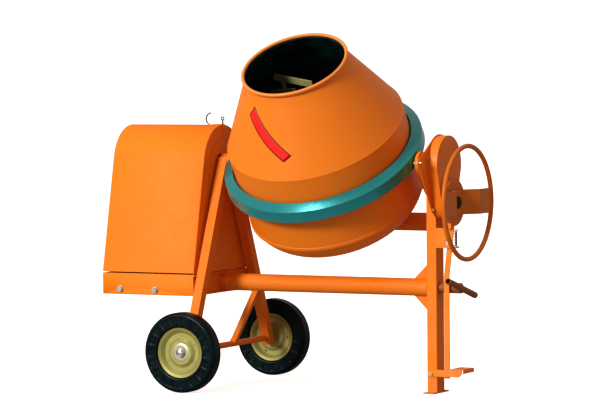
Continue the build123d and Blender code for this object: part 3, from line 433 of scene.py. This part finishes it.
def tyre_outline():
    # (radius, half width) from the bead seat, over the side wall, to the middle of the tread.
    side = [(0.1002, 0.0170), (0.1085, 0.0196), (0.1110, 0.0240), (0.1130, 0.0318), (0.1160, 0.0338),
            (0.1200, 0.0340), (0.1215, 0.0340), (0.1240, 0.0340), (0.1400, 0.0343), (0.1540, 0.0344),
            (0.1565, 0.0344), (0.1580, 0.0350), (0.1610, 0.0345), (0.1660, 0.0330), (0.1690, 0.0312),
            (0.1708, 0.0285), (0.1722, 0.0277), (0.1738, 0.0262), (0.1747, 0.0225), (0.1750, 0.0150),
            (0.1750, 0.0)]
    return side + [(r, -z) for r, z in reversed(side[:-1])]


tyre_points = tyre_outline()
recessed = {k for k, (r, z) in enumerate(tyre_points) if 0.1235 < r < 0.1545}


def with_recesses(k, angle, radius, level):
    if k in recessed:
        wave = math.cos(recess_count * angle)
        deep = min(1.0, max(0.0, (wave + 0.45) / 0.28))
        level -= math.copysign(recess_depth * deep, level)
    return radius, level


for side, end, body in ((-1, "front", "front_wheel"), (1, "rear", "rear_wheel")):
    centre = Vector(joints[f"{end}_wheel_spin"]["pos_m"])
    outwards = Matrix.Translation(centre) @ Matrix.Rotation(math.radians(-90 * side), 4, "X")
    tyre = piece(f"{end}_tyre_moulded", lathe(f"{end}_tyre_moulded", tyre_points, recess_count * 16, outwards,
                                              shape=with_recesses), tyre_rubber, body)
    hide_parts(f"{end}_tyre")
    dress(yellow_zinc, f"{end}_wheel_disc")
    rivets = bmesh.new()
    for at, flip in ((0.0082, 1), (0.0050, -1)):
        for i in range(rivet_count):
            turn = 2 * math.pi * (i + 0.5) / rivet_count
            middle = (rivet_ring * math.cos(turn), rivet_ring * math.sin(turn), at)
            spot = Matrix.Translation(middle) @ Matrix.Diagonal((1, 1, 0.55 * flip, 1))
            bmesh.ops.create_uvsphere(rivets, u_segments=14, v_segments=8, radius=rivet_head,
                                      matrix=outwards @ spot)
    rivet_mesh = bpy.data.meshes.new(f"{end}_wheel_rivets")
    rivets.to_mesh(rivet_mesh)
    rivets.free()
    rivet_mesh.polygons.foreach_set("use_smooth", [True] * len(rivet_mesh.polygons))
    piece(f"{end}_wheel_rivets", rivet_mesh, yellow_zinc, body)
    pin_path = [(-0.022, 0.004, 0.031), (-0.012, 0.001, 0.0305), (0.0, 0.0, 0.0305), (0.016, 0.0, 0.0305),
                (0.021, 0.0, 0.0330), (0.019, 0.0, 0.0358), (0.014, 0.0, 0.0345)]
    pin = tube_mesh(f"{end}_split_pin", [outwards @ Vector(p) for p in pin_path], 0.0013, 8)
    piece(f"{end}_split_pin", pin, bright_zinc, "frame")
    # A pressed dome round the hub, then the turned end of the axle in the nut.
    dome_outline = [(0.0243, 0.0192), (0.0300, 0.0196), (0.0360, 0.0192), (0.0440, 0.0172), (0.0510, 0.0130),
                    (0.0560, 0.0086), (0.0550, 0.0080), (0.0500, 0.0120), (0.0430, 0.0162), (0.0243, 0.0180)]
    dome = lathe(f"{end}_hub_dome", dome_outline, 96, outwards)
    # The dome's paler zinc tone is a painted highlight.
    piece(f"{end}_hub_dome", dome, pale_zinc_painted_highlight, body)
    end_outline = [(0.0, 0.0332), (0.0112, 0.0332), (0.0128, 0.0324), (0.0133, 0.0310), (0.0, 0.0310)]
    end_face = lathe(f"{end}_axle_end", end_outline, 40, outwards, closed=False)
    piece(f"{end}_axle_end", end_face, bright_zinc, "frame")
dress(bright_zinc, "axle_nuts")

# ---------------------------------------------------------------- motor tray, hood and bulkhead
# Folded sheet steel. The tray is bolted to its bearer, the bulkhead closes it towards the
# drum, and the arched hood tips off it on two hinges at the far end and latches on top.
hood_enamel = enamel("hood enamel", (0.94, 0.262, 0.012), (0.87, 0.222, 0.010), 0.12, 0.08, 0.52, 0.02)


def softened(name, node, width, material, body, segments, angle):
    # The CAD piece again with its folded edges rounded, standing in for the sharp one.
    copy = nodes[node].data.copy()
    copy.name = name
    work = bmesh.new()
    work.from_mesh(copy)
    bmesh.ops.remove_doubles(work, verts=work.verts, dist=1e-5)
    bmesh.ops.dissolve_limit(work, angle_limit=math.radians(0.6), verts=work.verts, edges=work.edges)
    work.to_mesh(copy)
    work.free()
    rounded = piece(name, copy, material, body)
    bevel = rounded.modifiers.new("rounded folds", "BEVEL")
    bevel.width = width
    bevel.segments = segments
    bevel.limit_method = "ANGLE"
    bevel.angle_limit = math.radians(angle)
    bevel.harden_normals = True
    copy.polygons.foreach_set("use_smooth", [True] * len(copy.polygons))
    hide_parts(node)
    return rounded


dress(hood_enamel, "hood", "motor_tray", "bulkhead", "latch_eye", "hood_hinges")
dark_enamel = enamel("dark hook enamel", (0.16, 0.035, 0.008), (0.07, 0.02, 0.008), 0.2, 0.4, 0.5, 0.0)
bent_hood = softened("hood_sheet", "hood", 0.0016, hood_enamel, "cover_hood", 2, 40.0)
bent_hood.data.materials.append(dark_enamel)
hood_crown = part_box("bulkhead")[1].z
hook_from = hood_crown + 0.006
stud_from = hood_crown + 0.002
for face in bent_hood.data.polygons:
    if face.center.z > hook_from:
        face.material_index = 1
stud_grey = enamel("stud grey", (0.12, 0.13, 0.13), (0.07, 0.07, 0.07), 0.2, 0.3, 0.45, 0.0)
latch = softened("latch_stud", "latch_eye", 0.0004, hood_enamel, "frame", 1, 60.0)
latch.data.materials.append(stud_grey)
for face in latch.data.polygons:
    if face.center.z > stud_from:
        face.material_index = 1
softened("tray_sheet", "motor_tray", 0.0020, hood_enamel, "frame", 2, 40.0)

# The bulkhead's raised panel has a rounded edge that shows as a paler line.
arc_y, arc_z, panel_radius = 0.0245, 0.978, 0.115
wall_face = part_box("bulkhead")[1].x - 0.0003
panel_line = []
for foot_y, way in ((-0.194, 1), (0.185, -1)):
    reach = Vector((arc_y - foot_y, arc_z - 0.506))
    lean = math.atan2(reach.y, reach.x) + way * math.asin(panel_radius / reach.length)
    run = math.sqrt(reach.length**2 - panel_radius**2)
    upper = (foot_y + run * math.cos(lean), 0.506 + run * math.sin(lean))
    share = (0.566 - 0.506) / (upper[1] - 0.506)
    panel_line.append(((foot_y + share * (upper[0] - foot_y), 0.566), upper))
(front_foot, front_top), (rear_foot, rear_top) = panel_line
from_turn = math.atan2(front_top[1] - arc_z, front_top[0] - arc_y) % (2 * math.pi)
to_turn = math.atan2(rear_top[1] - arc_z, rear_top[0] - arc_y)
over = [(arc_y + panel_radius * math.cos(from_turn + (to_turn - from_turn) * i / 24),
         arc_z + panel_radius * math.sin(from_turn + (to_turn - from_turn) * i / 24)) for i in range(25)]
edge_path = [(wall_face, y, z) for y, z in [front_foot] + over + [rear_foot]]
piece("panel_edge", tube_mesh("panel_edge", edge_path, 0.0016, 8), hood_enamel, "frame")

# ---------------------------------------------------------------- motor, belt and pulleys
# A finned grey motor drives the large pulley on the pinion shaft by one rubber belt, all
# of it under the hood. Pulleys are machined castings and the shafts are ground steel.
motor_grey = enamel("motor grey", (0.16, 0.19, 0.21), (0.11, 0.13, 0.15), 0.3, 0.1, 0.42, 0.1)
cast_iron = plating("oiled casting", (0.20, 0.19, 0.18), (0.09, 0.085, 0.08), 200.0, 0.42, 0.8, 0.3)
ground_steel = plating("ground steel", (0.62, 0.62, 0.61), (0.42, 0.41, 0.40), 400.0, 0.22)
belt_rubber = soft_black("belt rubber", (0.016, 0.016, 0.016), 0.25, 0.35)
dress(motor_grey, "motor")
dress(cast_iron, "large_pulley", "motor_pulley")
dress(ground_steel, "pinion_shaft")
dress(belt_rubber, "drive_belt")

# ---------------------------------------------------------------- switch box
# A black moulded box on the tray's rear wall, with a rotary switch and a sunk socket inlet
# underneath for the site lead.
moulded_black = soft_black("moulded black", (0.018, 0.018, 0.019), 0.3, 0.15)
dress(moulded_black, "switch_box", "switch_knob")

# ---------------------------------------------------------------- yoke
# A welded cradle behind the drum: two flat arms, a box tube across and a boss for the
# drum's spindle. It hangs in the trestle and the leg on two ground trunnions.
dress(frame_enamel, "yoke_arms", "yoke_cross_tube", "spindle_housing")
dress(ground_steel, "left_trunnion", "right_trunnion")

# ---------------------------------------------------------------- drum
# Rolled sheet: a cone, a band and a dished bowl, lapped and seam welded, with a rolled
# steel rim at the mouth. Outside it is gloss orange, with the rim paler as painted highlight;
# inside it is stained by the mix and darkened near black as painted shade.
drum_centre = Vector(joints["drum_spin"]["pos_m"])
drum_axis = Vector(joints["drum_spin"]["axis"])
drum_tilt = math.atan2(-drum_axis.y, drum_axis.z)
drum_place = Matrix.Translation(drum_centre) @ Matrix.Rotation(drum_tilt, 4, "X")
shell_radius = 0.3955
shell_wall = 0.003
band_top = 0.188
band_bottom = -0.180
cone_top = 0.508
mouth_radius = 0.226
drum_enamel = enamel("drum enamel", (0.94, 0.258, 0.012), (0.88, 0.225, 0.010), 0.10, 0.10, 0.48, 0.45)

# The drum's inside: mix stain with crust and film, its base tones kept near black as painted shade inside the
# drum.
stained_and_shaded = bpy.data.materials.new("mix crust and painted shade")
stained_and_shaded.use_nodes = True
tree = stained_and_shaded.node_tree
crust = span(tree, noise(tree, 11.0, 7.0, 0.65), 0.4, 0.62)
film = span(tree, noise(tree, 45.0, 5.0, 0.6), 0.35, 0.7)
inner_tone = mixed(tree, crust, (0.006, 0.016, 0.013, 1), (0.008, 0.075, 0.058, 1))
inner_tone = mixed(tree, maths(tree, "MULTIPLY", film, 0.35), inner_tone, (0.008, 0.008, 0.006, 1))
stained_and_shaded_shader = tree.nodes["Principled BSDF"]
stained_and_shaded_shader.inputs["Specular IOR Level"].default_value = 0.15
tree.links.new(inner_tone, stained_and_shaded_shader.inputs["Base Color"])
tree.links.new(span(tree, crust, 0.0, 1.0, 0.55, 0.85), stained_and_shaded_shader.inputs["Roughness"])
lumps = add(tree, "ShaderNodeBump", {"Height": crust, "Strength": 0.4, "Distance": 0.002})
tree.links.new(lumps.outputs["Normal"], stained_and_shaded_shader.inputs["Normal"])


def above_bowl(spot):
    return spot.z > band_bottom - 0.02


def shell(name, outside, wall, node, steps=240):
    # A turned sheet: the outside line, then the same line one wall further in.
    inside = []
    for k, (radius, level) in enumerate(outside):
        before = outside[max(k - 1, 0)]
        after = outside[min(k + 1, len(outside) - 1)]
        along = Vector((after[0] - before[0], after[1] - before[1])).normalized()
        inside.append((max(radius - wall * along.y, 0.0), level + wall * along.x))
    outline = list(outside) + list(reversed(inside))
    mesh = lathe(name, outline, steps, drum_place)
    # Inward faces take the mix stain darkened near black as painted shade.
    made_shell = piece(name, mesh, (drum_enamel, stained_and_shaded), "drum")
    back = drum_place.inverted()
    for face in mesh.polygons:
        spot = back @ face.center
        way = back.to_3x3() @ face.normal
        radial = Vector((spot.x, spot.y, 0)).normalized()
        outward = radial if above_bowl(spot) else (radial * 0.3 + Vector((0, 0, -1)))
        face.material_index = 0 if way.dot(outward) > 0 else 1
    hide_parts(node)
    return made_shell


def arc_through(first, middle, last, count):
    # Points on the circle through three (radius, height) points.
    ax, ay, bx, by, cx, cy = *first, *middle, *last
    d = 2 * (ax * (by - cy) + bx * (cy - ay) + cx * (ay - by))
    ux = ((ax**2 + ay**2) * (by - cy) + (bx**2 + by**2) * (cy - ay) + (cx**2 + cy**2) * (ay - by)) / d
    uy = ((ax**2 + ay**2) * (cx - bx) + (bx**2 + by**2) * (ax - cx) + (cx**2 + cy**2) * (bx - ax)) / d
    begin = math.atan2(ay - uy, ax - ux)
    end = math.atan2(cy - uy, cx - ux)
    radius = math.hypot(ax - ux, ay - uy)
    return [(ux + radius * math.cos(begin + (end - begin) * i / count),
             uy + radius * math.sin(begin + (end - begin) * i / count)) for i in range(count + 1)]


cone_narrows = shell_radius - mouth_radius
cone_height = cone_top - band_top
cone_line = [(shell_radius - cone_narrows * t / 12, band_top + cone_height * t / 12) for t in range(13)]
shell("cone_shell", cone_line, 0.00345, "drum_cone")
shell("band_shell", [(shell_radius, band_bottom + (band_top - band_bottom) * t / 10) for t in range(11)],
      shell_wall, "drum_band")
lap = 0.0022
bowl_line = [(0.0222, -0.306), (0.244, -0.306)]
bowl_line += arc_through((0.244, -0.306), (0.349, -0.255), (shell_radius, band_bottom), 22)[1:]
shell("bowl_shell", bowl_line, shell_wall, "drum_bowl")
lap_inner, lap_step, lap_outer = shell_radius - 0.001, shell_radius + lap * 0.4, shell_radius + lap
lap_outline = [(lap_inner, -0.186), (lap_step, -0.186), (lap_outer, -0.1845),
               (lap_outer, -0.172), (lap_step, -0.1705), (lap_inner, -0.1705)]
piece("bowl_lap", lathe("bowl_lap", lap_outline, 240, drum_place), drum_enamel, "drum")


def seam(name, outline_at, size, steps):
    path = [drum_place @ Vector(outline_at(i / steps)) for i in range(steps + 1)]
    piece(name, tube_mesh(name, path, size, 8, False, 0.12), drum_enamel, "drum")


seam_turn = math.radians(-25)


def upright_seam(share):
    level = band_bottom + 0.010 + (band_top - band_bottom - 0.014) * share
    return (shell_radius * math.cos(seam_turn), shell_radius * math.sin(seam_turn), level)


seam("band_seam", upright_seam, 0.0011, 120)
knuckle = ring_of_points((0, 0, band_top), (0, 0, 1), shell_radius - 0.0004, 300)
piece("cone_seam", tube_mesh("cone_seam", [drum_place @ p for p in knuckle], 0.0013, 8, True, 0.1),
      drum_enamel, "drum")

bead_radius, bead_ring, bead_level = 0.0076, 0.2310, 0.5202
rim_round = [(bead_ring + bead_radius * math.cos(math.radians(turn)),
              bead_level + bead_radius * math.sin(math.radians(turn))) for turn in range(-75, 226, 20)]
rim_outline = [(0.2276, 0.5058)] + rim_round + [(0.2228, 0.5120), (0.2232, 0.5058)]
# The rim's enamel is a paler, yellower copy of the drum orange: a painted highlight along the rolled bead.
rim_enamel_painted_highlight = enamel("rim enamel paled as painted highlight", (0.95, 0.33, 0.06), (0.85, 0.25, 0.03), 0.10, 0.15, 0.42, 0.5)
rim_mesh = lathe("rolled_rim", rim_outline, 240, drum_place)
rim = piece("rolled_rim", rim_mesh, (rim_enamel_painted_highlight, stained_and_shaded), "drum")
# The bead's inner faces take the mix stain darkened near black as painted shade.
for face in rim_mesh.polygons:
    spot = drum_place.inverted() @ face.center
    face.material_index = 1 if math.hypot(spot.x, spot.y) < 0.2252 and spot.z < 0.5165 else 0
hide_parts("mouth_rim")

# A plain red film strip, slanting down the cone, stuck on after painting.
strip_red = enamel("red strip", (0.92, 0.030, 0.024), (0.84, 0.022, 0.018), 0.03, 0.02, 0.45, 0.1)
strip_edge = enamel("dark strip edge", (0.20, 0.008, 0.008), (0.14, 0.006, 0.006), 0.05, 0.02, 0.30, 0.3)


def on_cone(turn, level, lift):
    radius = shell_radius - cone_narrows * (level - band_top) / cone_height + lift
    return drum_place @ Vector((radius * math.cos(turn), radius * math.sin(turn), level))


def film_strip(name, lift, inset, material):
    # Four corners as (turn in degrees, level), filled by a fine grid that hugs the cone.
    corners = [(-116.2, 0.4600), (-122.8, 0.4205), (-79.8, 0.2835), (-86.2, 0.2605)]
    long_steps, wide_steps = 40, 8
    end_inset = 0.22 * inset
    verts, faces = [], []
    for i in range(long_steps + 1):
        s = end_inset + (1 - 2 * end_inset) * i / long_steps
        for k in range(wide_steps + 1):
            t = inset + (1 - 2 * inset) * k / wide_steps
            turn, level = (
                (1 - s) * ((1 - t) * corners[0][which] + t * corners[1][which])
                + s * ((1 - t) * corners[2][which] + t * corners[3][which]) for which in (0, 1))
            verts.append(on_cone(math.radians(turn), level, lift))
    for i in range(long_steps):
        for k in range(wide_steps):
            a = i * (wide_steps + 1) + k
            faces.append((a, a + 1, a + wide_steps + 2, a + wide_steps + 1))
    mesh = bpy.data.meshes.new(name)
    mesh.from_pydata(verts, [], faces)
    mesh.polygons.foreach_set("use_smooth", [True] * len(faces))
    strip = piece(name, mesh, material, "drum")
    thick = strip.modifiers.new("film", "SOLIDIFY")
    thick.thickness = 0.0003
    thick.offset = 0


film_strip("strip_edge", 0.0007, 0.0, strip_edge)
film_strip("red_strip", 0.0015, 0.09, strip_red)

worn_steel = plating("worn blades", (0.56, 0.52, 0.23), (0.32, 0.30, 0.12), 35.0, 0.6, 0.1, 0.4)
dress(worn_steel, "mixing_blades")
dress(cast_iron, "ring_gear", "drive_pinion", "tilt_gear", "tilt_pinion")
dress(ground_steel, "drum_spindle", "spindle_nut")

# ---------------------------------------------------------------- ring guard
# A bright galvanised hoop that covers the toothed ring: an upright wall with a hemmed lower
# edge and a lip sloping in over the teeth, held off the yoke arms by bolts and spacers.
spangled, given, made = effect(
    "spangled hoop", [("Cells", "number", 26.0)], [("Spangle", "number"), ("Height", "number")])
place = add(spangled, "ShaderNodeTexCoord").outputs["Object"]
spangle = add(spangled, "ShaderNodeTexVoronoi", {"Vector": place, "Scale": given["Cells"]},
              feature="SMOOTH_F1")
spangle_tone = add(spangled, "ShaderNodeSeparateColor", {"Color": spangle.outputs["Color"]}).outputs[0]
finish_with(spangled, made, Spangle=spangle_tone, Height=noise(spangled, 160.0, 3.0, 0.6, place))


def hoop_metal(name, zinc, rough, metallic, clear):
    # One even teal tone on the zinc, a painted reflection of the surroundings, varied only by the spangle;
    # its gloss comes from the shader.
    material = bpy.data.materials.new(name)
    material.use_nodes = True
    tree = material.node_tree
    group = add(tree, "ShaderNodeGroup", node_tree=spangled)
    dulled = tuple(0.82 * part for part in zinc)
    tint = mixed(tree, maths(tree, "MULTIPLY", group.outputs["Spangle"], 0.45), (*zinc, 1), (*dulled, 1))
    shader = tree.nodes["Principled BSDF"]
    tree.links.new(tint, shader.inputs["Base Color"])
    tree.links.new(maths(tree, "ADD", rough, maths(tree, "MULTIPLY", group.outputs["Spangle"], 0.08)),
                   shader.inputs["Roughness"])
    grain = add(tree, "ShaderNodeBump", {"Height": group.outputs["Height"], "Strength": 0.06,
                                         "Distance": 0.0006})
    tree.links.new(grain.outputs["Normal"], shader.inputs["Normal"])
    shader.inputs["Metallic"].default_value = metallic
    shader.inputs["Coat Weight"].default_value = clear
    shader.inputs["Coat Roughness"].default_value = 0.2
    return material


# The teal tone is a painted reflection of the surroundings on bright zinc.
hoop_zinc_painted_reflection = hoop_metal("galvanised hoop with teal painted reflection", (0.025, 0.36, 0.38), 0.22, 0.55, 0.6)
guard_outline = [(0.4458, 0.0050), (0.4476, 0.0050), (0.4484, 0.0062), (0.4484, 0.0100), (0.4477, 0.0115),
                 (0.4474, 0.0530), (0.4470, 0.0560), (0.4456, 0.0584), (0.4060, 0.0768), (0.4044, 0.0778),
                 (0.4034, 0.0768), (0.4050, 0.0748), (0.4438, 0.0566), (0.4456, 0.0540)]
hoop_mesh = lathe("guard_hoop", guard_outline, 300, drum_place)
guard = piece("guard_hoop", hoop_mesh, hoop_zinc_painted_reflection, "yoke")
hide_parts("ring_guard")
dress(bright_zinc, "guard_clips")

# ---------------------------------------------------------------- handwheel leg
# A rectangular tube on a foot plate, with two triangular gussets at the beam. The tilt and
# handwheel bearings pass through bronze bushes near its top.
bronze = plating("bearing bronze", (0.72, 0.50, 0.22), (0.46, 0.30, 0.13), 220.0, 0.3)
dress(frame_enamel, "handwheel_leg", "foot_plate")
dress(bronze, "leg_bushes")

# ---------------------------------------------------------------- gear case
# A flat back plate and a pressed cover with a deep rolled wall, screwed together round the
# tilt gears. The plate's long corner is bolted back to the guard side.
case_enamel = enamel("case enamel", (0.93, 0.26, 0.012), (0.78, 0.18, 0.008), 0.2, 0.2, 0.36, 0.25)
dress(case_enamel, "gear_cover", "gear_back_plate")
dress(bright_zinc, "cover_screws")

# ---------------------------------------------------------------- handwheel and brake disc
# A bent tube rim with one wide strap across it, welded to the hub. The brake disc sits
# behind it on the same shaft, and a black plastic cap covers the shaft's end.
wheel_enamel = enamel("handwheel enamel", (0.72, 0.19, 0.012), (0.50, 0.13, 0.012), 0.3, 0.45, 0.38, 0.2)
dress(wheel_enamel, "handwheel", "brake_disc")
dress(ground_steel, "handwheel_shaft")
cap_black = soft_black("cap black", (0.003, 0.003, 0.004), 0.0, 0.05)
dress(cap_black, "hub_cap")

# ---------------------------------------------------------------- foot brake
# A flat pedal arm with a folded tread pulls a flat rod down and takes the shoe off the
# disc; a black coil spring beside the rod lifts it again.
rod_enamel = enamel("brake rod enamel", (0.93, 0.27, 0.014), (0.80, 0.20, 0.010), 0.3, 0.3, 0.36, 0.2)
spring_black = soft_black("blackened spring", (0.003, 0.006, 0.010), 0.05, 0.05)
dress(rod_enamel, "brake_rod", "rod_guide", "brake_pedal")
coil_low, coil_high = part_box("return_spring")
coil_wire, coil_ring, coil_turns, coil_steps = 0.0019, 0.0050, 10, 20
coil_middle = (Vector(coil_low) + Vector(coil_high)) / 2
coil_path = []
coil_points = coil_turns * coil_steps
for i in range(coil_points + 1):
    share = i / coil_points
    turn = 2 * math.pi * i / coil_steps
    rise = coil_low[2] + coil_wire + share * (coil_high[2] - coil_low[2] - 2 * coil_wire)
    coil_path.append((coil_middle.x + coil_ring * math.cos(turn),
                      coil_middle.y + coil_ring * math.sin(turn), rise))
coil_mesh = tube_mesh("brake_spring", coil_path, coil_wire, 8)
coil_mesh.materials.append(spring_black)
brake_spring = bpy.data.objects.new("brake_spring", coil_mesh)
scene.collection.objects.link(brake_spring)
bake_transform(brake_spring)
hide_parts("return_spring")

# ---------------------------------------------------------------- towing bar
# A steel tube that slides in the main beam, with a cross tube welded to its end as a
# handle. Its paint is chipped by hands and weather, and its dark brown base tone is painted shade.
# The dark brown base tone is painted shade; the heavy chipping is wear.
chipped_and_shaded_enamel = enamel("towing bar enamel chipped and darkened as painted shade", (0.34, 0.10, 0.015), (0.20, 0.07, 0.02), 0.35, 0.7, 0.40, 0.1)
dress(chipped_and_shaded_enamel, "towing_bar")

# ---------------------------------------------------------------- loose fasteners
# Zinc plated hexagon bolts at the tray, the case and the pedal.
dress(bright_zinc, "frame_bolts")
